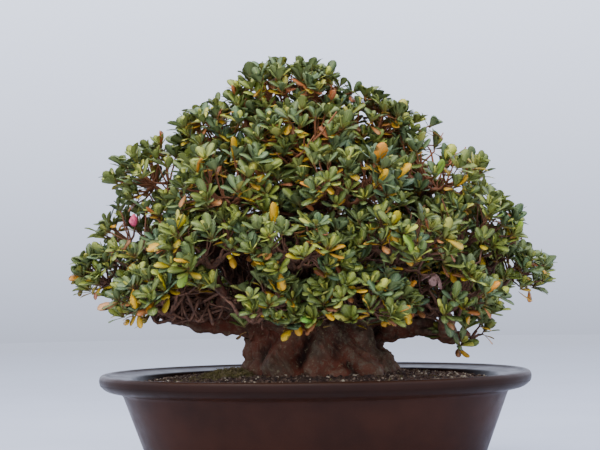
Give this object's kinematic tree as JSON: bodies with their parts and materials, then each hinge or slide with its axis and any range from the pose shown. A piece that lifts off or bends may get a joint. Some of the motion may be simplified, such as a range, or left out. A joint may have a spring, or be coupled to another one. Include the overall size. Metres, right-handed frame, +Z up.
{
  "type": "satsuki azalea bonsai in pot",
  "caption": "Old satsuki azalea bonsai with a broad dome of small leaves over a low, thick trunk, in soil in an oval brown stoneware pot on corner feet.",
  "frame": {"origin": "on the standing plane of the pot's feet, under the middle of the whole bonsai", "axes": "+Z up, +X along the pot's length to the viewer's right, -Y the bonsai's front"},
  "size_m": [0.5699, 0.4419, 0.4876],
  "materials": {
    "clay": "satin",
    "screen": "matte",
    "soil": "matte",
    "moss": "matte",
    "bark": "matte",
    "leaf": "satin",
    "bloom_pink": "matte",
    "bloom_faded": "matte"
  },
  "bodies": {
    "root": {"pot": "clay", "drain_screen_left": "screen", "drain_screen_right": "screen", "soil": "soil", "moss_left": "moss", "moss_back": "moss", "trunk_and_limbs": "bark", "flower_bud": "bloom_pink", "withered_bloom": "bloom_faded", "spray_top_apex": "leaf", "spray_top_left": "leaf", "spray_top_front": "leaf", "spray_top_right": "leaf", "spray_top_back": "leaf", "spray_upper_left": "leaf", "spray_upper_left_front": "leaf", "spray_upper_right_front": "leaf", "spray_upper_right": "leaf", "spray_upper_right_back": "leaf", "spray_upper_left_back": "leaf", "spray_mid_left": "leaf", "spray_mid_front_left": "leaf", "spray_mid_front": "leaf", "spray_mid_front_right": "leaf", "spray_mid_right": "leaf", "spray_mid_right_back": "leaf", "spray_mid_back": "leaf", "spray_mid_left_back": "leaf", "spray_low_left": "leaf", "spray_low_left_front": "leaf", "spray_low_front_left": "leaf", "spray_low_front_right": "leaf", "spray_low_right_front": "leaf", "spray_low_right": "leaf", "spray_low_right_back": "leaf", "spray_low_back_right": "leaf", "spray_low_back_left": "leaf", "spray_low_left_back": "leaf", "spray_low_right_drop": "leaf"}
  },
  "joints": []
}
